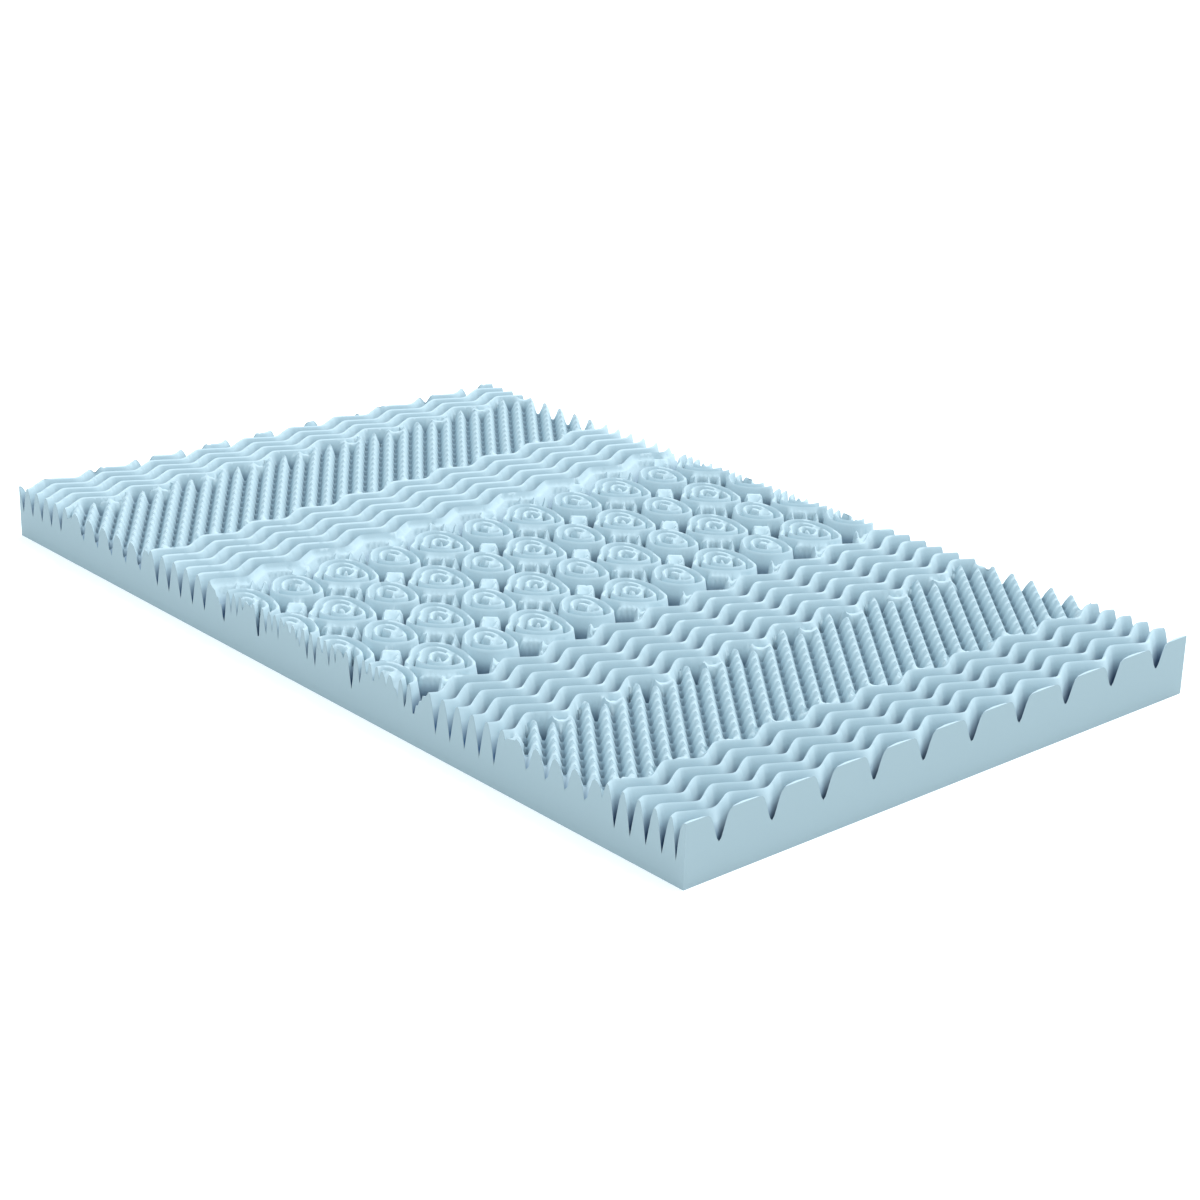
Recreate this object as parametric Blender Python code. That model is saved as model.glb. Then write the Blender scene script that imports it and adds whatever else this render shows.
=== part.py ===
"""Convoluted foam mattress topper: one slab with a flat underside and plain cut sides,
its top cut in seven zones across the length: wave ribs, egg-crate points and ring rosettes.

Metres, +Z up, origin at the middle of the underside.  X is the width, Y the length.
The zone tables hold positions along the length from the foot end (the -Y end)."""

import math

import bmesh
import bpy

WIDTH = 1.170
LENGTH = 1.900
CREST = 0.107            # tops of the ribs, points and rings above the underside
SKIRT = 0.020            # how far the cutting pattern is laid out past each side before trimming

# Wave ribs: first crest, number of ribs, pitch, height of the groove floor, where a rib swings
# farthest to +Y, period and swing of the zigzag, drift in Y over X, whether a groove ends the zone.
WAVES = {
    "foot": (-0.0384, 7, 0.0354, 0.040, 0.0080, 0.1118, 0.0135, 0.013, False),
    "lower": (0.4529, 6, 0.0385, 0.038, 0.0687, 0.1169, 0.0158, 0.057, True),
    "upper": (1.2616, 6, 0.0387, 0.043, 0.0011, 0.1178, 0.0128, 0.074, False),
    "head": (1.7670, 6, 0.0350, 0.050, 0.0540, 0.1158, 0.0150, 0.045, False),
}
RIB_CROWN = 0.0035       # half the width of a rib's blunt crest

# Egg-crate: first row, rows, half pitch along Y, half pitch along X, drift in Y over X,
# parity of the row that starts with a pit at X = 0.
CRATES = {
    "lower": (0.21875, 9, 0.02375, 0.01885, 0.036, 1),
    "upper": (1.4994, 10, 0.02500, 0.01900, 0.064, 0),
}
PIT = 0.044
POINT = 0.105
CRATE_SADDLE = 0.078     # between two pits, and between two points

# Rosettes: four columns along Y, rows along X, each in a cell of its own.
ROSE_FIRST = (0.004, 0.763)
ROSE_PITCH = (0.116, 0.135)
ROSE_ROWS = 11
ROSE_COLUMNS = 4
ROSE_DRIFT = 0.080
ROSE_STRETCH = (0.85, 1.15)   # the rings are longer along Y than along X
LOBES = 3
LOBE_DEPTH = 0.06
LOBE_TURN = math.radians(70.0)
# radius, height and number of corners of each ring, from the middle out
WIDE_RINGS = ((0.0, 0.102, 1), (0.024, 0.062, 6), (0.038, 0.105, 8), (0.048, 0.060, 8),
              (0.0585, 0.107, 12))
NARROW_RINGS = ((0.0, 0.092, 1), (0.018, 0.062, 6), (0.027, 0.105, 8), (0.036, 0.060, 8),
                (0.045, 0.107, 12))
CELL_GIVE = (0.005, 0.0085)   # how far a wide rosette's cell swells into its neighbours, X and Y
GAP = 0.052              # floor between two rosettes
TABLE = 0.101            # flat block where four cells meet
SADDLE = 0.090           # low point where four cells meet, every second time


def drift(x, slope):
    """Shift in Y of a row that runs a little askew across the width."""
    return slope * (x - WIDTH / 2.0)


def zigzag(x, start, period, swing):
    """Rounded zigzag that the ribs follow; farthest to +Y at x = start."""
    sharpness = 0.96
    wave = sharpness * math.cos(2.0 * math.pi * (x - start) / period)
    return swing * math.asin(wave) / math.asin(sharpness)


def wave_row(zone, base, height):
    """One row of points along a crest or a groove, with a point at each bend of the zigzag."""
    bend, period, swing, slope = WAVES[zone][4:8]
    half = period / 2.0
    low = math.floor((-SKIRT - bend) / half)
    high = math.ceil((WIDTH + SKIRT - bend) / half)
    row = []
    for k in range(low, high + 1):
        x = bend + k * half
        row.append((x, base + zigzag(x, bend, period, swing) + drift(x, slope), height))
    return row


def wave_rows(zone):
    """Both edges of each rib's crest, and the groove floors between ribs."""
    first, count, pitch, floor = WAVES[zone][:4]
    ends_in_groove = WAVES[zone][8]
    rows = []
    for n in range(count):
        crest = first + n * pitch
        rows.append(wave_row(zone, crest - RIB_CROWN, CREST))
        rows.append(wave_row(zone, crest + RIB_CROWN, CREST))
        if n < count - 1 or ends_in_groove:
            rows.append(wave_row(zone, crest + pitch / 2.0, floor))
    return rows


def crate_rows(zone):
    """Rows of alternating pits and points, half a pitch apart both ways."""
    first, count, half_y, half_x, slope, parity = CRATES[zone]
    reach = math.ceil(SKIRT / half_x)
    rows = []
    for n in range(count):
        row = []
        for k in range(-reach, math.ceil(WIDTH / half_x) + reach + 1):
            x = k * half_x
            height = PIT if (n + k + parity) % 2 == 0 else POINT
            row.append((x, first + n * half_y + drift(x, slope), height))
        rows.append(row)
    return rows


def rose_point(centre, radius, angle):
    """Point of a lobed ring around a rosette's middle."""
    r = radius * (1.0 + LOBE_DEPTH * math.cos(LOBES * (angle - LOBE_TURN)))
    x = centre[0] + r * ROSE_STRETCH[0] * math.cos(angle)
    y = centre[1] + r * ROSE_STRETCH[1] * math.sin(angle)
    return x, y


def rose_centre(i, j):
    """Middle of the rosette in row i along X and column j along Y."""
    x = ROSE_FIRST[0] + i * ROSE_PITCH[0]
    return x, ROSE_FIRST[1] + j * ROSE_PITCH[1] + drift(x, ROSE_DRIFT)


def cell_edge_height(i, j, a, b):
    """Height on the edge of cell (i, j); a and b run from -3 to 3 across it, in thirds of a half.
    A flat block stands where the cells before and after a corner, along both axes, are narrow."""
    if abs(a) == 3 and abs(b) == 3:
        return SADDLE if is_wide(i + (a > 0), j + (b > 0)) else TABLE
    return GAP


class Surface:
    """Collects the top surface as vertices and triangles, joining rows point by point."""

    def __init__(self):
        self.mesh = bmesh.new()
        self.known = {}

    def vertex(self, point):
        key = (round(point[0], 6), round(point[1], 6))
        if key not in self.known:
            self.known[key] = self.mesh.verts.new(point)
        return self.known[key]

    def face(self, *corners):
        if len(set(corners)) == 3:
            self.mesh.faces.new(corners)

    def join(self, lower, upper, keys_lower, keys_upper):
        """Fill between two lines of points, always stepping along the one that lags behind."""
        a = [self.vertex(p) for p in lower]
        b = [self.vertex(p) for p in upper]
        m = 0
        n = 0
        while m < len(a) - 1 or n < len(b) - 1:
            step_lower = m < len(a) - 1 and (n == len(b) - 1 or keys_lower[m + 1] <= keys_upper[n + 1])
            if step_lower:
                self.face(a[m], a[m + 1], b[n])
                m += 1
            else:
                self.face(a[m], b[n + 1], b[n])
                n += 1

    def join_crate(self, rows):
        """Fill a field of pits and points, each square folded about a saddle in its middle."""
        for lower, upper in zip(rows, rows[1:]):
            for k in range(len(lower) - 1):
                square = (lower[k], lower[k + 1], upper[k + 1], upper[k])
                x = sum(p[0] for p in square) / 4.0
                y = sum(p[1] for p in square) / 4.0
                middle = self.vertex((x, y, CRATE_SADDLE))
                corners = [self.vertex(p) for p in square]
                for first, second in zip(corners, corners[1:] + corners[:1]):
                    self.face(first, second, middle)

    def join_rows(self, rows):
        """Fill between rows that run across the width."""
        for lower, upper in zip(rows, rows[1:]):
            self.join(lower, upper, [p[0] for p in lower], [p[0] for p in upper])


def is_wide(i, j):
    """Wide and narrow rosettes alternate like the squares of a chessboard."""
    return (i + j) % 2 == 1


def cell_point(i, j, a, b):
    """Point on the edge of a cell; a and b run from -3 to 3 across it."""
    x0, y0 = rose_centre(i, j)
    give = 1.0 if is_wide(i, j) else -1.0
    x = x0 + a * ROSE_PITCH[0] / 6.0
    y = y0 + b * ROSE_PITCH[1] / 6.0
    if abs(b) == 1:
        x += give * math.copysign(CELL_GIVE[0], a)
    if abs(a) == 1 and 0 <= j + b // 3 < ROSE_COLUMNS:
        y += give * math.copysign(CELL_GIVE[1], b)
    return x, y + ROSE_DRIFT * (x - x0), cell_edge_height(i, j, a, b)


def cell_outline(i, j):
    """Twelve points round a rosette's cell, from its right side anticlockwise, with their angles."""
    steps = [(3, -1), (3, 1), (3, 3), (1, 3), (-1, 3), (-3, 3),
             (-3, 1), (-3, -1), (-3, -3), (-1, -3), (1, -3), (3, -3)]
    points = []
    angles = []
    for a, b in steps:
        points.append(cell_point(i, j, a, b))
        angles.append(math.atan2(b * ROSE_PITCH[1], a * ROSE_PITCH[0]) % (2.0 * math.pi))
    return close_ring(points, angles)


def close_ring(points, angles):
    """Repeat the first point a full turn on, with the angles rising all the way round."""
    rising = [angles[0]]
    for angle in angles[1:]:
        while angle < rising[-1]:
            angle += 2.0 * math.pi
        rising.append(angle)
    if rising[0] > math.pi:
        rising = [a - 2.0 * math.pi for a in rising]
    return points + points[:1], rising + [rising[0] + 2.0 * math.pi]


def add_rosette(surface, i, j):
    """Rings round one middle, filled out to the edge of the cell."""
    centre = rose_centre(i, j)
    rings = WIDE_RINGS if is_wide(i, j) else NARROW_RINGS
    lines = []
    for radius, height, corners in rings[1:]:
        angles = [LOBE_TURN - math.pi / 2.0 + 2.0 * math.pi * k / corners for k in range(corners)]
        points = [rose_point(centre, radius, a) + (height,) for a in angles]
        lines.append(close_ring(points, angles))
    lines.append(cell_outline(i, j))
    middle = surface.vertex(centre + (rings[0][1],))
    first = [surface.vertex(p) for p in lines[0][0]]
    for a, b in zip(first, first[1:]):
        surface.face(middle, a, b)
    for (inner, inner_keys), (outer, outer_keys) in zip(lines, lines[1:]):
        surface.join(outer, inner, outer_keys, inner_keys)


def rose_border(j, side):
    """The row of cell edge points on one side of the rosettes, b = -3 or 3."""
    row = []
    for i in range(ROSE_ROWS):
        steps = (-3, -1, 1) if i < ROSE_ROWS - 1 else (-3, -1, 1, 3)
        row.extend(cell_point(i, j, a, side) for a in steps)
    return row


def top_surface():
    """The whole top, laid out past the four sides."""
    surface = Surface()
    lower_crate = crate_rows("lower")
    upper_crate = crate_rows("upper")
    surface.join_rows(wave_rows("foot") + lower_crate[:1])
    surface.join_crate(lower_crate)
    surface.join_rows(lower_crate[-1:] + wave_rows("lower") + [rose_border(0, -3)])
    surface.join_rows([rose_border(ROSE_COLUMNS - 1, 3)] + wave_rows("upper") + upper_crate[:1])
    surface.join_crate(upper_crate)
    surface.join_rows(upper_crate[-1:] + wave_rows("head"))
    for i in range(ROSE_ROWS):
        for j in range(ROSE_COLUMNS):
            add_rosette(surface, i, j)
    return surface.mesh


def trim(mesh, point, outward):
    """Cut the top off at one plain side."""
    geometry = mesh.verts[:] + mesh.edges[:] + mesh.faces[:]
    bmesh.ops.bisect_plane(mesh, geom=geometry, dist=1e-6, plane_co=point, plane_no=outward,
                           clear_outer=True)


def close_slab(mesh):
    """Drop the plain sides from the trimmed edge and close the flat underside round its middle."""
    rim = [e for e in mesh.edges if len(e.link_faces) == 1]
    feet = {v: mesh.verts.new((v.co.x, v.co.y, 0.0)) for v in {v for e in rim for v in e.verts}}
    middle = mesh.verts.new((WIDTH / 2.0, LENGTH / 2.0, 0.0))
    for edge in rim:
        first, second = edge.verts
        mesh.faces.new((first, second, feet[second], feet[first]))
        mesh.faces.new((feet[first], feet[second], middle))


def build_slab():
    """The finished solid, moved so that its underside is centred on the origin."""
    mesh = top_surface()
    trim(mesh, (0.0, 0.0, 0.0), (-1.0, 0.0, 0.0))
    trim(mesh, (WIDTH, 0.0, 0.0), (1.0, 0.0, 0.0))
    trim(mesh, (0.0, 0.0, 0.0), (0.0, -1.0, 0.0))
    trim(mesh, (0.0, LENGTH, 0.0), (0.0, 1.0, 0.0))
    bmesh.ops.remove_doubles(mesh, verts=mesh.verts[:], dist=0.0001)
    close_slab(mesh)
    bmesh.ops.triangulate(mesh, faces=[f for f in mesh.faces if len(f.verts) > 3])
    bmesh.ops.recalc_face_normals(mesh, faces=mesh.faces[:])
    bmesh.ops.translate(mesh, verts=mesh.verts[:], vec=(-WIDTH / 2.0, -LENGTH / 2.0, 0.0))
    return mesh


def foam_material():
    """Soft matte foam in pale blue."""
    material = bpy.data.materials.new("pale_blue_foam")
    material.use_nodes = True
    shader = material.node_tree.nodes["Principled BSDF"]
    shader.inputs["Base Color"].default_value = (0.50, 0.72, 0.80, 1.0)
    shader.inputs["Roughness"].default_value = 0.92
    return material


def main():
    for existing in list(bpy.data.objects):
        bpy.data.objects.remove(existing, do_unlink=True)
    slab = build_slab()
    data = bpy.data.meshes.new("foam_topper")
    slab.to_mesh(data)
    slab.free()
    data.materials.append(foam_material())
    topper = bpy.data.objects.new("foam_topper", data)
    bpy.context.scene.collection.objects.link(topper)
    print("triangles", len(data.polygons))


main()
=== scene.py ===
# %% [markdown]
# # A convoluted foam mattress topper
# The object is one slab of soft blue foam.  Its underside and its four sides are plain saw cuts,
# and its top is cut into ribs, points and ring rosettes, in seven bands across the length.
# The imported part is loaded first.  It gives the size, and the foam made here stands in its place.

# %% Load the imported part
import math
from collections import namedtuple

import bpy
from mathutils import Matrix, Vector
from mathutils.geometry import delaunay_2d_cdt
from mathutils.kdtree import KDTree


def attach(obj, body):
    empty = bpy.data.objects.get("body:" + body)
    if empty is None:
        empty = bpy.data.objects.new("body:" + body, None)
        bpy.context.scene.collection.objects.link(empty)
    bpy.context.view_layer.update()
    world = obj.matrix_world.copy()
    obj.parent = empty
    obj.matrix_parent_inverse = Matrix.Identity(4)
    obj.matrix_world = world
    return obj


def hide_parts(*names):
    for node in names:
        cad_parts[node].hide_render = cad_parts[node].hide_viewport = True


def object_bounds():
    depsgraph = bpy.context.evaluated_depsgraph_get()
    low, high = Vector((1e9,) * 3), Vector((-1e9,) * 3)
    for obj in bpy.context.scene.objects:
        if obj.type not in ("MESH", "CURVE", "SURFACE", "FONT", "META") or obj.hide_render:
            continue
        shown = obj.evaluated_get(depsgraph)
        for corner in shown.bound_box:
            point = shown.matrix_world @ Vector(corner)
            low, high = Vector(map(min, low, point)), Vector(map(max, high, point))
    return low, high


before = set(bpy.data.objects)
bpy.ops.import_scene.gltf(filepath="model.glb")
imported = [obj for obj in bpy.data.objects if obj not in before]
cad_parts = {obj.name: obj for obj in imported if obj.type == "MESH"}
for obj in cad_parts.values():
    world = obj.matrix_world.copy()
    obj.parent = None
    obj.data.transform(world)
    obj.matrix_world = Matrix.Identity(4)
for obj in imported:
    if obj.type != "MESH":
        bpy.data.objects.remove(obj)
cad_low, cad_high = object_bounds()
WIDTH = cad_high.x - cad_low.x
LENGTH = cad_high.y - cad_low.y
TOP = cad_high.z
print("slab", round(WIDTH, 4), "x", round(LENGTH, 4), "x", round(TOP, 4), "m")

# %% [markdown]
# ## The camera
# The camera stands off the near corner, a little above the slab, with a long lens.  It could be
# aimed with a Track To constraint, but the picture is rolled by a degree and a half, so its three
# axes are worked out from a heading, a downward pitch and that roll, and put into its matrix.

# %% Camera
CAMERA_PLACE = Vector((-2.9037, -3.3526, 1.7438))
HEADING = math.radians(48.273)
PITCH = math.radians(21.2407)
ROLL = math.radians(1.5121)
LENS_PIXELS = 2590.139
PICTURE_PIXELS = 1200
SENSOR = 36.0            # millimetres

forward = Vector((math.cos(PITCH) * math.cos(HEADING),
                  math.cos(PITCH) * math.sin(HEADING), -math.sin(PITCH)))
level = forward.cross(Vector((0, 0, 1))).normalized()
upright = level.cross(forward)
right = level * math.cos(ROLL) + upright * math.sin(ROLL)
up = upright * math.cos(ROLL) - level * math.sin(ROLL)

bpy.ops.object.camera_add()
camera = bpy.context.object
camera.name = "photo_camera"
camera.data.sensor_width = SENSOR
camera.data.lens = LENS_PIXELS / PICTURE_PIXELS * SENSOR
axes = Matrix((right, up, -forward)).transposed()
camera.matrix_world = Matrix.LocRotScale(CAMERA_PLACE, axes, None)
bpy.context.scene.camera = camera
print("camera lens", round(camera.data.lens, 2), "mm")

# %% [markdown]
# ## Ribs that follow a zigzag
# Four bands carry long ribs.  Every rib follows the same rounded zigzag, with a gently rounded crest
# and a sharp groove beside it.  A wave of this kind could be drawn as a curve and bevelled, but the
# grooves of neighbours would then not meet in one line, so the height is worked out for any place
# on the slab from how far that place is from the nearest crest.
# In all these cells X is measured from the left side and Y from the foot end, in metres.

# %% Measures of the ribs
# first: Y of the first crest     count: how many ribs      pitch: from crest to crest
# floor, crest: heights           bend: X of a bend to +Y   period, swing: of the zigzag
# drift: Y gained per metre of X  fan: pitch gained per metre of X
# bow: how unevenly the pattern is spread over X, as along_pattern() has it
Ribs = namedtuple("Ribs", "first count pitch floor bend period swing drift fan bow crest")
RIBS = {
    "foot": Ribs(-0.0026, 6, 0.03555, 0.040, -0.0046, 0.1137, 0.0141, 0.0173, 0.0013, -0.0596, 0.107),
    "lower": Ribs(0.4547, 6, 0.03881, 0.038, 0.0583, 0.1174, 0.0161, 0.0586, 0.0031, -0.0549, 0.107),
    "upper": Ribs(1.2645, 6, 0.03901, 0.043, -0.0110, 0.1194, 0.0141, 0.0774, 0.0005, -0.0568, 0.107),
    "head": Ribs(1.7690, 5, 0.03520, 0.050, 0.0400, 0.1179, 0.0150, 0.0450, 0.0, -0.0600, 0.104),
}
RIB_FULLNESS = 1.12
BEND_BACK, BEND_FRONT = 0.975, 0.86      # 1 would make the zigzag's bends corners

print("ribs across the length:", sum(ribs.count for ribs in RIBS.values()))

# %% [markdown]
# The arcsine of a cosine is a plain zigzag, and taking a little less than the whole cosine rounds its
# bends.  The number of a rib then tells how far a place lies along the slab, counted in ribs, and from
# that number come the height of the place and, the other way round, the place of any crest.

# %% Zigzag
def along_pattern(x, bow):
    """The knives' pattern is a little closer set on one side of the slab than on the other."""
    return x + bow * (x - WIDTH / 2) ** 2


def across_slab(u, bow):
    """The X at which a pattern that is bowed so has come as far as u, found by a few tries."""
    x = u
    for _ in range(5):
        x = u - bow * (x - WIDTH / 2) ** 2
    return x


def zigzag(band, x):
    """How far the crests of a band lie to +Y at this X."""
    ribs = RIBS[band]
    wave = math.cos(2 * math.pi * (along_pattern(x, ribs.bow) - ribs.bend) / ribs.period)
    sharp = BEND_BACK if wave > 0 else BEND_FRONT
    return ribs.swing * math.asin(sharp * wave) / math.asin(sharp) + ribs.drift * (x - WIDTH / 2)


def rib_number(band, x, y):
    """0 on the first crest, 1 on the second; halves are grooves."""
    ribs = RIBS[band]
    fan = ribs.fan * (x - WIDTH / 2)
    middle = (ribs.count - 1) / 2
    return (y - zigzag(band, x) - ribs.first + fan * middle) / (ribs.pitch + fan)


def rib_place(band, x, number):
    """The Y at which a rib number is reached, at this X."""
    ribs = RIBS[band]
    fan = ribs.fan * (x - WIDTH / 2)
    return ribs.first + number * ribs.pitch + (number - (ribs.count - 1) / 2) * fan + zigzag(band, x)


def rib_profile(band, number):
    """Height of a rib; rounded on the crest and sharp in the groove."""
    ribs = RIBS[band]
    return ribs.floor + (ribs.crest - ribs.floor) * abs(math.cos(math.pi * number)) ** RIB_FULLNESS


def rib_height(band, x, y):
    return rib_profile(band, rib_number(band, x, y))


print("width of the lower ribs:", round(rib_place("lower", 0.5, 5) - rib_place("lower", 0.5, 0), 4))

# %% [markdown]
# At the foot end the saw has gone along the first rib.  That rib is left broad and falls off from the
# saw cut on, and once in each period the first groove runs out into a notch.  The first groove is drawn
# in line with the saw cut, so that the notches come out alike.  They could be cut with a Boolean, but
# as part of the height they get the same even rows of points as the other ribs.

# %% Foot end
END_REACH = 0.035        # how far from the foot end the first groove is drawn in line with the saw cut
END_DRIFT = 0.0135       # so much of the ribs' drift is taken out there
END_SHIFT = -0.0020      # moves the groove a little out of the saw cut, or the notches get too deep
END_FULLNESS = 1.5       # above 1 the first rib is broader than the others


def smooth(value):
    """0 below 0, 1 above 1 and a soft step between them."""
    value = max(0.0, min(1.0, value))
    return value * value * (3 - 2 * value)


def drawn_in(x, y):
    """The Y of the rib pattern that is found at y."""
    return y + (END_DRIFT * (x - WIDTH / 2) + END_SHIFT) * (1 - smooth(y / END_REACH))


def drawn_back(x, y):
    """The place that drawn_in() moves to y, found by a few tries."""
    place = y
    for _ in range(10):
        place = y - (drawn_in(x, place) - place)
    return place


def foot_height(x, y):
    """Up to the first groove the foam is as the saw has left it, and past it the ribs are as anywhere."""
    number = rib_number("foot", x, drawn_in(x, y))
    if number < 0.5:
        groove = y + (0.5 - number) * RIBS["foot"].pitch
        beside_groove = 0.5 * (2 * max(0.0, number)) ** END_FULLNESS
        number = max(beside_groove, 0.5 * (y / groove) ** END_FULLNESS)
    return rib_profile("foot", number)


print("height beside the foot end:", round(foot_height(0.3, 0.01), 4))

# %% [markdown]
# ## Egg crate
# Two bands are egg crate, made by pressing the foam between pins and slitting it.  On this foam its
# points have grown together into rounded ridges that run away from the camera, and between two ridges
# lies a row of pits, each closed by a thin lip that hangs in a V from ridge to ridge.  So the height is
# worked out from two turns, one across the ridges and one along them.

# %% Height of the egg crate
# row, step_y: a row of pits and their spacing along Y     column, step_x: the same along X
# drift: Y gained per metre of X                           bow: as for the ribs
Crate = namedtuple("Crate", "row step_y column step_x drift bow")
CRATES = {
    "lower": Crate(0.23751, 0.04563, -0.01795, 0.03872, 0.0372, -0.0422),
    "upper": Crate(1.55640, 0.04967, 0.00420, 0.03826, 0.0310, -0.0397),
}
CRATE_PIT = 0.044
CRATE_RIDGE = 0.106
RIDGE_DIP = 0.004        # how far a ridge sinks between two of its points
RIDGE_FULLNESS = 0.95
LIP = 0.56               # height of a lip's middle, as a share of the ridge's


def crate_height(band, x, y):
    """From across, 1 on a ridge and 0 in a row of pits, and along, 0 in a pit and 1 at a lip."""
    crate = CRATES[band]
    turn_y = 2 * math.pi * (y - crate.drift * (x - WIDTH / 2) - crate.row) / crate.step_y
    turn_x = 2 * math.pi * (along_pattern(x, crate.bow) - crate.column) / crate.step_x
    across = abs(math.sin((turn_x - turn_y) / 2)) ** RIDGE_FULLNESS
    along = 1 - abs(math.cos((turn_x + turn_y) / 2))
    level = across + (1 - across) * LIP * along
    return CRATE_PIT + (CRATE_RIDGE - RIDGE_DIP * along - CRATE_PIT) * level


print("pits a row:", int(WIDTH / CRATES["lower"].step_x))

# %% [markdown]
# ## Rosettes
# The middle band holds eleven rows of four ring rosettes, wide and narrow ones in a chessboard.  Each is
# two or three rings with three soft corners round a small middle, so that they look like petals folded
# round each other.  Rings could be drawn as Bezier circles, but their crests have to lie in the foam's
# own mesh, so a ring is given by its radius in seven directions and rounded between them.  The
# directions are counted in degrees from the camera's right, first turning away from the camera.

# %% Rings of the rosettes
ROSE_FIRST = (-0.0166, 0.7461)           # X and Y of the first middle
ROSE_PITCH = (0.1165, 0.1362)            # spacing along X and along Y
ROSE_ROWS = 11
ROSE_COLUMNS = 4
ROSE_DRIFT = 0.0701                      # Y gained per metre of X
ROSE_BOW = -0.0445                       # as for the ribs
DIRECTIONS = (-35, 6, 57, 115, 180, 214, 274)
WIDE_RINGS = ((0.0160, 0.0145, 0.0160, 0.0235, 0.0155, 0.0190, 0.0235),
              (0.0439, 0.0302, 0.0280, 0.0437, 0.0335, 0.0405, 0.0410),
              (0.0657, 0.0478, 0.0465, 0.0626, 0.0490, 0.0610, 0.0580))
NARROW_RINGS = ((0.0290, 0.0213, 0.0222, 0.0360, 0.0250, 0.0277, 0.0285),
                (0.0512, 0.0390, 0.0393, 0.0550, 0.0425, 0.0460, 0.0490))


def is_wide(i, j):
    return (i + j) % 2 == 1


def ring_radius(ring, turn):
    """Radius in one direction, in degrees from the camera's right, by a Hermite curve."""
    turn = (turn - DIRECTIONS[0]) % 360 + DIRECTIONS[0]
    stops = DIRECTIONS + (DIRECTIONS[0] + 360,)
    n = max(k for k in range(len(ring)) if stops[k] <= turn)
    part = (turn - stops[n]) / (stops[n + 1] - stops[n])
    before, here, there, after = (ring[(n + k) % len(ring)] for k in (-1, 0, 1, 2))
    wide = stops[n + 1] - stops[n]
    wide_before = (stops[n] - DIRECTIONS[n - 1]) % 360
    wide_after = (DIRECTIONS[(n + 2) % len(ring)] - stops[n + 1]) % 360
    slope_here = (there - before) * wide / (wide + wide_before)
    slope_there = (after - here) * wide / (wide + wide_after)
    return (here * (1 + 2 * part) * (1 - part) ** 2 + slope_here * part * (1 - part) ** 2
            + there * (3 - 2 * part) * part ** 2 - slope_there * (1 - part) * part ** 2)


def rose_middle(i, j):
    x = across_slab(ROSE_FIRST[0] + i * ROSE_PITCH[0], ROSE_BOW)
    return Vector((x, ROSE_FIRST[1] + j * ROSE_PITCH[1] + ROSE_DRIFT * (x - WIDTH / 2)))


def in_roses(x, y):
    """Whether a place is past the last crest of the lower ribs and before the first of the upper ones."""
    return rib_number("lower", x, y) > RIBS["lower"].count - 1 and rib_number("upper", x, y) < 0


print("rosettes:", ROSE_ROWS * ROSE_COLUMNS)

# %% [markdown]
# The knives leave a crest wherever two cuts lean away from each other, and the foam falls off the
# same way on both sides of every crest.  So the whole band is one list of crest points with their
# heights.  Where two crests run close together the gap between them stays shallow, and where they
# part it gets deep, which is just how the rings look.

# %% Rows of crest points
CREST_STEP = 0.0022
CREST_FLAT = 0.0016
PAST_SIDES = 0.03        # crests this far past the sides still shape the foam
RIGHTWARDS = Vector((math.sin(HEADING), -math.cos(HEADING)))     # on the slab, as the camera sees it
AWAY = Vector((math.cos(HEADING), math.sin(HEADING)))
crests = []              # place, height and how far round it the top is flat
crest_rows = []          # the same points, row by row, for the mesh


def crest_row(places, flat=CREST_FLAT):
    """Adds a row of places with their heights, as far as they lie in the band."""
    row = [(p, top) for p, top in places
           if -PAST_SIDES <= p.x <= WIDTH + PAST_SIDES and in_roses(p.x, p.y)]
    crests.extend((p, top, flat) for p, top in row)
    crest_rows.append([p for p, _ in row if 0 <= p.x <= WIDTH])


def seen(middle, right_by, away_by):
    """The place so far right of and behind the middle, as the camera sees it."""
    return middle + RIGHTWARDS * right_by + AWAY * away_by


def ring_row(middle, ring, top):
    """Points all round a ring, the last on the first."""
    count = round(2 * math.pi * sum(ring) / len(ring) / CREST_STEP)
    places = []
    for k in range(count + 1):
        turn = math.radians(360 * k / count)
        radius = ring_radius(ring, math.degrees(turn))
        places.append((seen(middle, radius * math.cos(turn), radius * math.sin(turn)), top))
    return places


def stroke(start, end, top_start, top_end):
    """Points on a straight line that rises or falls evenly."""
    count = max(1, round((end - start).length / CREST_STEP))
    return [(start.lerp(end, k / count), top_start + (top_end - top_start) * k / count)
            for k in range(count + 1)]


print("crest points on the longest ring:", len(ring_row(Vector((0, 0)), WIDE_RINGS[2], 0)))

# %% [markdown]
# A wide rosette is three rings round a knob, with a low shelf in front of it.  A narrow one is two
# rings round three short folds.  Knob, shelf and folds could be drawn as curves too, but they are
# short, and straight strokes come close enough.

# %% One rosette
RING_TOP = 0.1055
INNER_DROP = 0.001       # the inmost ring of a wide rosette is this much lower
# start and end, each to the right and away, height at the start and at the end, flat width
SHELF = ((-0.024, -0.066), (0.026, -0.064), 0.0975, 0.0975, 0.003)
KNOB = ((-0.002, 0.006), (0.002, -0.003), 0.1020, 0.0990, 0.0024)
FOLDS = (((-0.010, 0.019), (0.008, 0.012), 0.103, 0.102, 0.003),
         ((0.002, 0.012), (0.001, -0.011), 0.103, 0.101, 0.0015),
         ((0.010, 0.008), (0.014, -0.006), 0.100, 0.098, 0.0015))


def short_crest(middle, start, end, top_start, top_end, flat):
    crest_row(stroke(seen(middle, *start), seen(middle, *end), top_start, top_end), flat)


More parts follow.
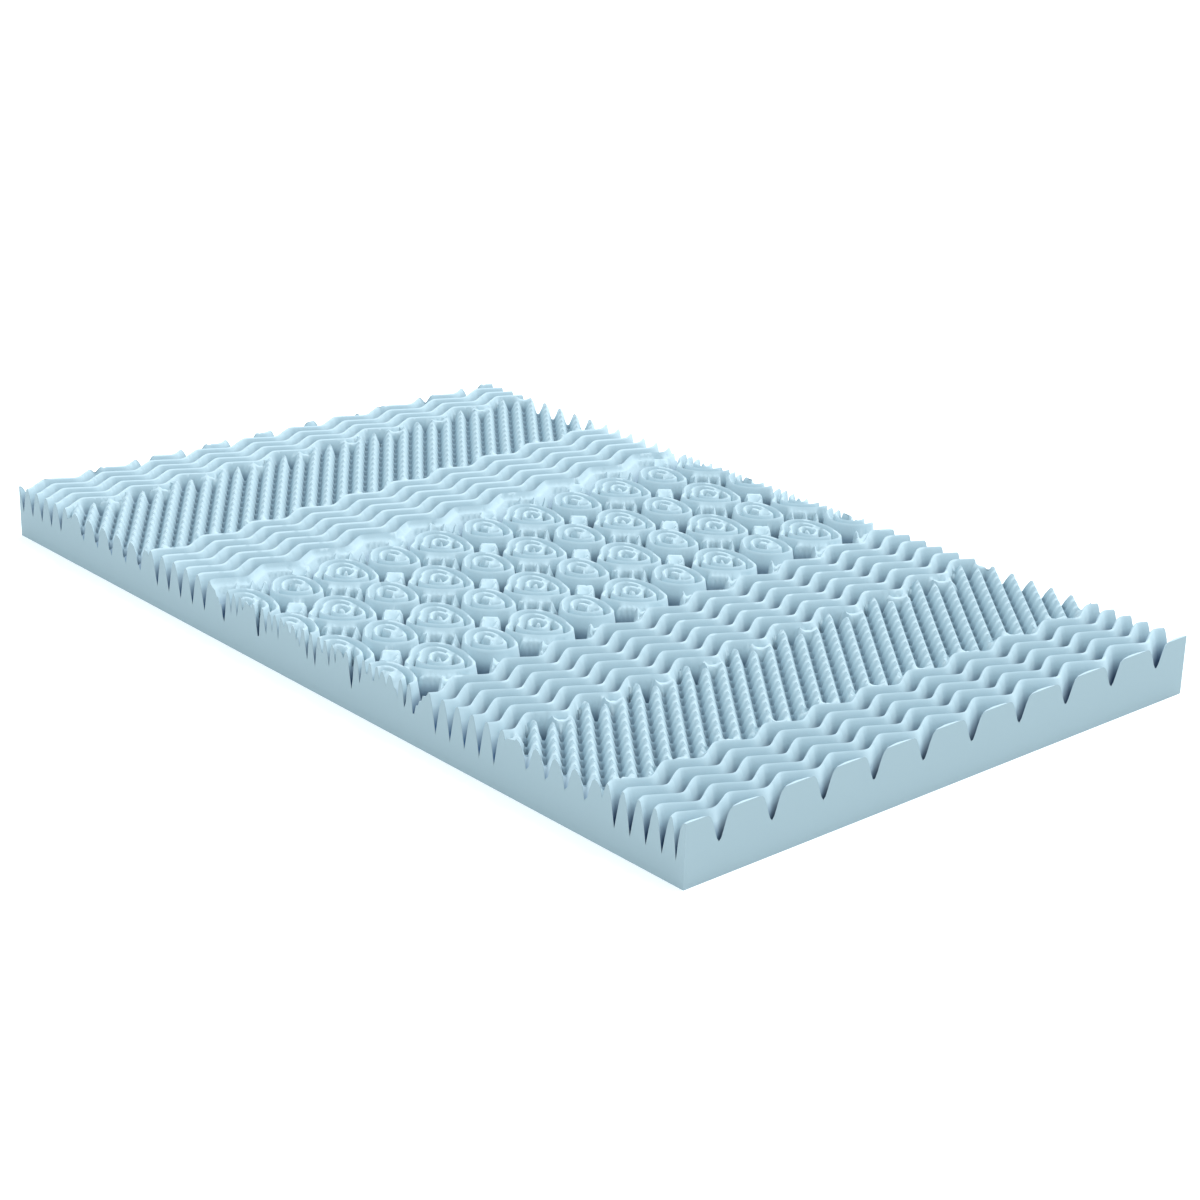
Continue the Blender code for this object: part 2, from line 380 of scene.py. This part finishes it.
def wide_rosette(middle):
    crest_row(ring_row(middle, WIDE_RINGS[2], RING_TOP))
    short_crest(middle, *SHELF)
    crest_row(ring_row(middle, WIDE_RINGS[1], RING_TOP))
    crest_row(ring_row(middle, WIDE_RINGS[0], RING_TOP - INNER_DROP))
    short_crest(middle, *KNOB)


def narrow_rosette(middle):
    crest_row(ring_row(middle, NARROW_RINGS[1], RING_TOP))
    crest_row(ring_row(middle, NARROW_RINGS[0], RING_TOP))
    for fold in FOLDS:
        short_crest(middle, *fold)


print("crests in a narrow rosette:", len(NARROW_RINGS) + len(FOLDS))

# %% [markdown]
# Between two narrow rosettes stands a flat-topped block with a dent in front, and between two wide ones
# there are two pits between three short ridges.  Beside the lower ribs there is a single ridge.
# A block could be a cube joined on, but as five strokes side by side it grows out of the same foam.

# %% Blocks and ridges between the rosettes
BLOCK_HALF = 0.0125
BLOCK_BACK, BLOCK_DENT, BLOCK_FRONT = 0.030, -0.001, -0.009
BLOCK_TOPS = (0.097, 0.096, 0.094)       # at the back, beside the dent and in front
BLOCK_STROKES = (-1, -0.5, 0, 0.5, 1)    # to the right, in half widths
DENT = 0.0200
BLOCK_FLAT = 0.0020
RIDGES = (-0.0235, 0.003, 0.0245)
RIDGE_BACK, RIDGE_FRONT = 0.018, -0.024
RIDGE_NARROWING = 0.95                   # the ridges come a little together towards the camera
RIDGE_TOPS = (0.102, 0.099)              # at the back and in front
RIDGE_FLAT = 0.0015


def ridges_at(corner, rights):
    for s in rights:
        front = (s * RIDGE_NARROWING, RIDGE_FRONT)
        short_crest(corner, (s, RIDGE_BACK), front, *RIDGE_TOPS, RIDGE_FLAT)


def block_at(corner):
    for s in BLOCK_STROKES:
        dented = BLOCK_TOPS[1] - DENT * (1 - s * s)
        back = seen(corner, s * BLOCK_HALF, BLOCK_BACK)
        hollow = seen(corner, s * BLOCK_HALF, BLOCK_DENT)
        front = seen(corner, s * BLOCK_HALF, BLOCK_FRONT)
        behind = stroke(back, hollow, BLOCK_TOPS[0], dented)[:-1]
        crest_row(behind + stroke(hollow, front, dented, BLOCK_TOPS[2]), BLOCK_FLAT)


print("ridges between two wide rosettes:", len(RIDGES))

# %% [markdown]
# Now the whole chessboard is laid out, one row past each side, so that the cut rosettes at the sides
# are shaped by their neighbours too.

# %% The band of rosettes
for i in range(-1, ROSE_ROWS + 1):
    for j in range(-1, ROSE_COLUMNS + 1):
        middle = rose_middle(i, j)
        if 0 <= j < ROSE_COLUMNS and is_wide(i, j):
            wide_rosette(middle)
        elif 0 <= j < ROSE_COLUMNS:
            narrow_rosette(middle)
        corner = (middle + rose_middle(i + 1, j + 1)) / 2
        if j == -1:
            ridges_at(corner, RIDGES[1:2])
        elif is_wide(i, j):
            ridges_at(corner, RIDGES)
        else:
            block_at(corner)
print("crest points:", len(crests))

# %% [markdown]
# The ribs on both sides of the band are crests of it as well.  Beside them the foam between the rosettes
# isn't cut down to the floor but slopes off gently.  That slope is three more rows of low crest points,
# wherever no ring comes near.

# %% Ribs and slopes beside the rosettes
RIB_FLAT = 0.001
SLOPE_FLAT = 0.005
SLOPE_ROWS = ((0.25, 0.096), (0.50, 0.084), (0.75, 0.073))       # pitches from the rib, and height
ROOM_FOR_SLOPE = 0.0095                  # these rows keep this far from the rosettes
# band, number of the rib beside the rosettes, and which way they lie from it
EDGES = (("lower", RIBS["lower"].count - 1, 1), ("upper", 0, -1))


def tree_of(entries):
    tree = KDTree(len(entries))
    for number, entry in enumerate(entries):
        tree.insert((entry[0].x, entry[0].y, 0), number)
    tree.balance()
    return tree


rosettes = tree_of(crests)
across = [k * CREST_STEP for k in range(int(WIDTH / CREST_STEP) + 1)]
for band, rib, _ in EDGES:
    for x in across:
        crests.append((Vector((x, rib_place(band, x, rib))), RIBS[band].crest, RIB_FLAT))
for band, rib, side in EDGES:
    for beyond, top in SLOPE_ROWS:
        for x in across:
            y = rib_place(band, x, rib + side * beyond)
            if rosettes.find((x, y, 0))[2] > ROOM_FOR_SLOPE:
                crests.append((Vector((x, y)), top, SLOPE_FLAT))
print("with the slopes:", len(crests))

# %% [markdown]
# A search tree finds the crest points nearest to a place, and the highest of their slopes counts.  The
# slope begins and ends level, so that crests are rounded and the gaps have soft floors.

# %% Height of the rosettes
SLOPE_WIDTH = 0.0120
SLOPE_DEPTH = 0.064
NEIGHBOURS = 14          # so many crest points are looked at

tree_of_crests = tree_of(crests)


def rose_height(x, y):
    best = 0.0
    for _, number, distance in tree_of_crests.find_n((x, y, 0), NEIGHBOURS):
        _, top, flat = crests[number]
        away = min(1.0, max(0.0, distance - flat) / SLOPE_WIDTH)
        best = max(best, top - SLOPE_DEPTH * math.sin(math.pi / 2 * away) ** 2)
    return best


print("height between two rosettes:", round(rose_height(0.28, 0.70), 4))

# %% [markdown]
# ## From one band to the next
# The rosettes begin at the last crest of the ribs, which is one of their crests too.  The ridges of the
# egg crate run on into the slope of the nearest rib and end there.  Once in each period of the zigzag a
# row of pits is closed by a hump, and a deep slot is left beside the rib's bend; on the other side the
# ridges end on small ledges.  They could be modelled one by one, but they follow the zigzag, so one
# rule places them all.

# %% Ledges, humps and slots
# along, half: middle and half length along a rib, in periods from its bend to +Y
# beyond, reach: middle and half width away from the rib, in pitches     height: above the floor
Patch = namedtuple("Patch", "along half beyond reach height")
LEDGE = Patch(0.33, 0.12, 0.62, 0.42, 0.098)
HUMP = Patch(0.36, 0.20, 0.55, 0.42, 0.098)
SLOT = Patch(0.06, 0.17, 0.60, 0.50, 0.036)
RUN_OUT = 0.42           # the egg crate sinks from here to the rib, in pitches,
RUN_DEPTH = 0.024        # by this much


def from_bend(band, x):
    """Share of the zigzag's period that has passed since its bend to +Y."""
    return (along_pattern(x, RIBS[band].bow) - RIBS[band].bend) / RIBS[band].period % 1


def stretch(value, middle, half):
    """1 in the middle of a stretch, 0 outside it, with a soft edge."""
    return smooth(2 - 2 * abs(value - middle) / half)


def share_of(patch, band, x, beyond):
    """How much a ledge, hump or slot counts at a place beside a band of ribs."""
    return stretch(from_bend(band, x), patch.along, patch.half) * stretch(beyond, patch.beyond, patch.reach)


print("share left at three quarters of the way out:", stretch(0.75, 0, 1))

# %% [markdown]
# Now the height of any place can be told.  The bands are gone through from the foot end to the head end,
# and the first one that reaches as far as the place gives its height.

# %% Height anywhere on the top
def crate_between(x, y, crate, before, after, past, left):
    """The egg crate, and the slope of the rib beside it wherever that slope is higher."""
    height = crate_height(crate, x, y)
    height = max(height, CRATE_PIT + (LEDGE.height - CRATE_PIT) * share_of(LEDGE, before, x, past))
    height = max(height, CRATE_PIT + (HUMP.height - CRATE_PIT) * share_of(HUMP, after, x, left))
    height -= (height - SLOT.height) * share_of(SLOT, after, x, left)
    for band, beyond in ((before, past), (after, left)):
        if beyond < 0.5:
            sunk = height - RUN_DEPTH * smooth((RUN_OUT - beyond) / RUN_OUT)
            height = max(rib_height(band, x, y), sunk)
    return height


def height_at(x, y):
    past = {b: rib_number(b, x, y) - (RIBS[b].count - 1) for b in RIBS}
    left = {b: -rib_number(b, x, y) for b in RIBS}
    if past["foot"] <= 0:
        return foot_height(x, y)
    if left["lower"] > 0:
        return crate_between(x, y, "lower", "foot", "lower", past["foot"], left["lower"])
    if past["lower"] <= 0:
        return rib_height("lower", x, y)
    if left["upper"] > 0:
        return rose_height(x, y)
    if past["upper"] <= 0:
        return rib_height("upper", x, y)
    if left["head"] > 0:
        return crate_between(x, y, "upper", "upper", "head", past["upper"], left["head"])
    return rib_height("head", x, y)


print("height in the middle of the slab:", round(height_at(WIDTH / 2, LENGTH / 2), 4))

# %% [markdown]
# ## Where the points go
# A plain grid fine enough for the grooves would have too many faces, and would leave every crest a
# little ragged.  So points are laid along the crests, the grooves and the rings themselves, with a few
# rows between them, and a triangulation joins them all.  A point that comes too close to one already
# laid is left out.  Neighbours on a crest or in a groove are tied by an edge, so that no triangle cuts
# across the line.

# %% Collecting points
NEAR = 0.0023            # the least distance between two points
CELL = 0.004             # points are kept by cells of this size, to look only at close ones
laid = {}
points = []
ties = []


def lay(x, y, near=NEAR):
    """Lays a point and gives its number, or None if there is no room for it."""
    if not (0 <= x <= WIDTH and 0 <= y <= LENGTH):
        return None
    on_side = x in (0, WIDTH) or y in (0, LENGTH)
    if not on_side and not (near < x < WIDTH - near and near < y < LENGTH - near):
        return None
    cell = (int(x / CELL), int(y / CELL))
    for a in (-1, 0, 1):
        for b in (-1, 0, 1):
            for other in laid.get((cell[0] + a, cell[1] + b), ()):
                if (other[0] - x) ** 2 + (other[1] - y) ** 2 < near ** 2:
                    return None
    laid.setdefault(cell, []).append((x, y))
    points.append((x, y))
    return len(points) - 1


def lay_row(places, tied=False):
    """Lays a row of points; a tied one keeps the edges between neighbours."""
    before = None
    for x, y in places:
        here = lay(x, y)
        if tied and before is not None and here is not None:
            ties.append((before, here))
        before = here


print("points so far:", len(points))

# %% [markdown]
# The four corners come first and then the two ends, so that nothing can take their places.

# %% Points on the ends
SIDE_STEP = 0.0045
END_POINTS = int(WIDTH / SIDE_STEP)

for x in (0, WIDTH):
    for y in (0, LENGTH):
        lay(x, y)
for n in range(1, END_POINTS):
    lay(n * WIDTH / END_POINTS, 0)
    lay(n * WIDTH / END_POINTS, LENGTH)
print("points on the ends:", len(points))

# %% [markdown]
# Each rib gets a row of points on its crest, one in its groove and six between them.  The columns
# keep step with the zigzag, so that every bend gets the same points.  More columns are worked out than
# the slab is wide, and those past its sides are left out.

# %% Points along the ribs
ROW_PLACES = (0.0, 0.5, 0.09, 0.91, 0.22, 0.78, 0.36, 0.64)
PERIOD_STEPS = 19
# rib numbers of the first and the last row of points in each band
ROWS = {"foot": (-0.5, 5.1), "lower": (-0.1, 5.25), "upper": (-0.25, 5.1), "head": (-0.1, 5.0)}
for band, (first_row, last_row) in ROWS.items():
    ribs = RIBS[band]
    columns = {across_slab(ribs.bend + k * ribs.period / PERIOD_STEPS, ribs.bow) for k in range(-30, 240)}
    columns = [0.0] + sorted(x for x in columns if NEAR < x < WIDTH - NEAR) + [WIDTH]
    for place in ROW_PLACES:
        for n in range(-1, ribs.count + 1):
            if first_row <= n + place <= last_row:
                row = [(x, rib_place(band, x, n + place)) for x in columns]
                if band == "foot":
                    row = [(x, drawn_back(x, y)) for x, y in row]
                lay_row(row, place in (0.0, 0.5))
print("points with the ribs:", len(points))

# %% [markdown]
# In the egg crate a plain grid does, as long as it keeps step with the pits.  It too is worked out
# larger than the band, and what lies outside is left out.

# %% Points in the egg crate
PIT_STEPS = 8
BORDER = (0.85, 0.15)    # the grid begins and ends in the slopes of the ribs beside it

for band, before, after in (("lower", "foot", "lower"), ("upper", "upper", "head")):
    crate = CRATES[band]
    columns = {across_slab(crate.column + k * crate.step_x / PIT_STEPS, crate.bow) for k in range(-16, 270)}
    columns = [0.0] + sorted(x for x in columns if NEAR < x < WIDTH - NEAR) + [WIDTH]
    for n in range(-24, 90):
        for x in columns:
            y = crate.row + n * crate.step_y / PIT_STEPS + crate.drift * (x - WIDTH / 2)
            begun = rib_number(before, x, y) > RIBS[before].count - BORDER[0]
            if begun and rib_number(after, x, y) < -BORDER[1]:
                lay(x, y)
print("points with the egg crate:", len(points))

# %% [markdown]
# Here the two sides of the slab come first and then the crests of the rosettes.  Rows beside the rings
# follow, wherever no other crest is close, and at last a staggered grid fills the room that is left.

# %% Points in the rosettes
BESIDE = (0.0034, 0.0075)                # from the ring, on both sides
BESIDE_NEAR = 0.0028
SMALLEST_ROW = 0.004                     # a row that comes closer to the middle is left out
CLEAR = 0.7                              # share of the distance that has to be free of crests
FILL_STEP = 0.0043
FILL_NEAR = 0.0031

for n in range(int(LENGTH / SIDE_STEP)):
    for x in (0, WIDTH):
        if in_roses(x, n * SIDE_STEP):
            lay(x, n * SIDE_STEP)
for row in crest_rows:
    lay_row([(p.x, p.y) for p in row[::2]], True)


def lay_beside(middle, ring, distance):
    """Lays every second point of a row beside a ring, wherever no other crest is close."""
    row = [radius + distance for radius in ring]
    if min(row) > SMALLEST_ROW:
        for p, _ in ring_row(middle, row, 0)[::2]:
            to_crest = tree_of_crests.find((p.x, p.y, 0))[2]
            if in_roses(p.x, p.y) and to_crest > CLEAR * abs(distance):
                lay(p.x, p.y, BESIDE_NEAR)


for i in range(-1, ROSE_ROWS + 1):
    for j in range(ROSE_COLUMNS):
        for ring in WIDE_RINGS if is_wide(i, j) else NARROW_RINGS:
            for distance in BESIDE:
                lay_beside(rose_middle(i, j), ring, distance)
                lay_beside(rose_middle(i, j), ring, -distance)
for m in range(int(WIDTH / FILL_STEP)):
    for n in range(int(LENGTH / FILL_STEP)):
        x = (m + 0.5 * (n % 2)) * FILL_STEP
        y = n * FILL_STEP
        if in_roses(x, y):
            lay(x, y, FILL_NEAR)
print("points with the rosettes:", len(points), "ties:", len(ties))

# %% [markdown]
# ## The foam block
# The triangulated top gets its heights, its rim is drawn down to the floor, and the underside is closed
# with one flat face.  The mesh is made from its points, because no operator lays points along rings.

# %% Top of the foam
SAME_POINT = 1e-7        # points closer than this are taken for one

corners, _, triangles, *_ = delaunay_2d_cdt([Vector(p) for p in points], ties, [], 0, SAME_POINT)
vertices = [(c.x - WIDTH / 2, c.y - LENGTH / 2, min(TOP, height_at(c.x, c.y))) for c in corners]
mesh = bpy.data.meshes.new("foam_block")
mesh.from_pydata(vertices, [], triangles)
block = bpy.data.objects.new("foam_block", mesh)
bpy.context.scene.collection.objects.link(block)
print("faces of the top:", len(mesh.polygons))

# %% [markdown]
# In edit mode the open rim is selected as the edges that belong to one face only.  It is extruded, and
# the copy is flattened to the floor by scaling it to nothing in Z.  The rim and the bottom edge are
# marked sharp, as saw cuts are, and the rest is shaded smooth wherever it doesn't bend more steeply
# than the angle below.

# %% Sides and underside
SHARP_FROM = math.radians(85)

bpy.ops.object.select_all(action="DESELECT")
block.select_set(True)
bpy.context.view_layer.objects.active = block
bpy.ops.object.mode_set(mode="EDIT")
bpy.ops.mesh.select_mode(type="EDGE")
bpy.ops.mesh.select_all(action="DESELECT")
bpy.ops.mesh.select_non_manifold()
bpy.ops.mesh.mark_sharp()
bpy.ops.mesh.extrude_region_move()
bpy.ops.transform.resize(value=(1, 1, 0), center_override=(0, 0, 0))
bpy.ops.mesh.edge_face_add()
bpy.ops.mesh.mark_sharp()
bpy.ops.mesh.select_all(action="SELECT")
bpy.ops.mesh.normals_make_consistent(inside=False)
bpy.ops.object.mode_set(mode="OBJECT")
bpy.ops.object.shade_smooth_by_angle(angle=SHARP_FROM)
print("triangles:", sum(len(p.vertices) - 2 for p in mesh.polygons))

# %% [markdown]
# ## Foam
# The foam is matte and pale blue.  Its open cells are too small to model, so they are a fine bump.
# Little light comes back out of the grooves, so painted shade deepens the colour towards their floors;
# the sawn sides are left out of it and get a darker copy of the pale colour, painted shade for the upright
# faces.

# %% Foam finish
class Value:
    """A socket that can be used in a formula, so that a pattern reads like one."""

    def __init__(self, tree, socket=None):
        self.tree = tree
        self.socket = socket

    def node(self, kind, out=0, settings=None, values=None):
        """Adds any node, sets or links its inputs by name or place, and gives one of its outputs."""
        made = self.tree.nodes.new(kind)
        for name, setting in (settings or {}).items():
            setattr(made, name, setting)
        for name, value in (values or {}).items():
            if isinstance(value, Value):
                self.tree.links.new(value.socket, made.inputs[name])
            else:
                made.inputs[name].default_value = value
        return Value(self.tree, made.outputs[out])

    def sum(self, operation, *terms):
        return self.node("ShaderNodeMath", 0, {"operation": operation}, dict(enumerate(terms)))

    def __sub__(self, other):
        return self.sum("SUBTRACT", self, other)

    def __rsub__(self, other):
        return self.sum("SUBTRACT", other, self)

    def __mul__(self, other):
        return self.sum("MULTIPLY", self, other)

    def __rmul__(self, other):
        return self.sum("MULTIPLY", other, self)

    def __truediv__(self, other):
        return self.sum("DIVIDE", self, other)

    def __rtruediv__(self, other):
        return self.sum("DIVIDE", other, self)

    def __lt__(self, other):
        return self.sum("LESS_THAN", self, other)

    def __abs__(self):
        return self.sum("ABSOLUTE", self)

    def clamped(self):
        return self.sum("MINIMUM", self.sum("MAXIMUM", self, 0.0), 1.0)


def mixed(share, one, other):
    """Colour one where share is 0, the other where it is 1."""
    return share.node("ShaderNodeMix", 2, {"data_type": "RGBA"}, {0: share, 6: one, 7: other})


print("a value can be used with - * / < and abs()")

# %% [markdown]
# The height decides how deep a place lies, and X and Y tell the sawn sides from the cut top.  The
# colours could be painted on the mesh as an attribute, but as formulas they need no finer mesh.  The
# underside lies lower than any groove, so this formula gives it the painted groove shade as well.

# %% Foam material
# A sawn side takes its painted shade this far in.
SKIN = 0.0008            # a sawn side takes its colour this far in
# Painted shade: below this height the colour darkens towards the groove floors.
SHADE_FROM, SHADE_OVER = 0.087, 0.034      # below this height the colour deepens, over this much height
PALE, PALER = (0.450, 0.570, 0.620, 1), (0.480, 0.600, 0.650, 1)
# The darkest painted shade, on the groove floors.
PAINTED_GROOVE_SHADE = (0.040, 0.105, 0.205, 1)
# A darker copy of the pale colour, painted shade for the upright sawn sides.
SHADED_SIDE_COLOUR = (0.302, 0.392, 0.424, 1)

foam = bpy.data.materials.new("blue_foam")
foam.use_nodes = True
shader = foam.node_tree.nodes["Principled BSDF"]
maths = Value(foam.node_tree)
place = maths.node("ShaderNodeTexCoord", "Object")
x = maths.node("ShaderNodeSeparateXYZ", 0, None, {0: place})
y = Value(foam.node_tree, x.socket.node.outputs[1])
z = Value(foam.node_tree, x.socket.node.outputs[2])
clouds = maths.node("ShaderNodeTexNoise", "Fac", None, {"Vector": place, "Scale": 9.0, "Detail": 3.0})
cells = maths.node("ShaderNodeTexNoise", "Fac", None, {"Vector": place, "Scale": 700.0, "Detail": 2.0})
inside = (abs(x) < WIDTH / 2 - SKIN) * (abs(y) < LENGTH / 2 - SKIN)
# Painted shade that darkens the colour with depth towards the groove floors, left off the sawn sides.
painted_shade = ((SHADE_FROM - z) / SHADE_OVER).clamped() * inside
colour = mixed(clouds, PALE, PALER)
colour = mixed(painted_shade, colour, PAINTED_GROOVE_SHADE)
# The sawn sides take the darker copy, painted shade for the upright faces.
colour = mixed(inside, SHADED_SIDE_COLOUR, colour)
bump = maths.node("ShaderNodeBump", 0, None, {"Strength": 0.25, "Distance": 0.0006, "Height": cells})
shader.inputs["Roughness"].default_value = 0.95
foam.node_tree.links.new(colour.socket, shader.inputs["Base Color"])
foam.node_tree.links.new(bump.socket, shader.inputs["Normal"])
mesh.materials.append(foam)
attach(block, "root")
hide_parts("foam_topper")
print("foam nodes", len(foam.node_tree.nodes))

# %% [markdown]
# ## Studio
# The photograph is evenly lit and cut out on white.  So the floor and the surround are
# white, and one wide, soft sun shines from behind on the right.  A large area light could be used too,
# but it falls off over two metres of foam.  The floor glows a little, because the photograph shows no
# shadow on it.

# %% Floor and light
FLOOR_GLOW = 0.30
SURROUND = 1.17
SUN_STRENGTH = 2.3
SUN_WIDTH = math.radians(35)
SUN_DIRECTION = Vector((-0.85, -0.12, -1.2))

bpy.ops.mesh.primitive_plane_add(size=60)
floor = bpy.context.object
floor.name = "studio_floor"
paint = bpy.data.materials.new("studio_white")
paint.use_nodes = True
white = paint.node_tree.nodes["Principled BSDF"].inputs
white["Base Color"].default_value = (0.9, 0.9, 0.9, 1)
white["Roughness"].default_value = 1.0
white["Emission Color"].default_value = (1, 1, 1, 1)
white["Emission Strength"].default_value = FLOOR_GLOW
floor.data.materials.append(paint)

world = bpy.data.worlds.new("studio_world")
world.use_nodes = True
surround = world.node_tree.nodes["Background"].inputs
surround["Color"].default_value = (0.82, 0.93, 1, 1)
surround["Strength"].default_value = SURROUND
bpy.context.scene.world = world
bpy.context.scene.view_settings.view_transform = "Standard"

bpy.ops.object.light_add(type="SUN", location=(4.0, -1.0, 4.0))
sun = bpy.context.object
sun.name = "soft_sun"
sun.data.angle = SUN_WIDTH
sun.data.energy = SUN_STRENGTH
sun.rotation_euler = SUN_DIRECTION.to_track_quat("-Z", "Y").to_euler()
print("lights:", sun.name)
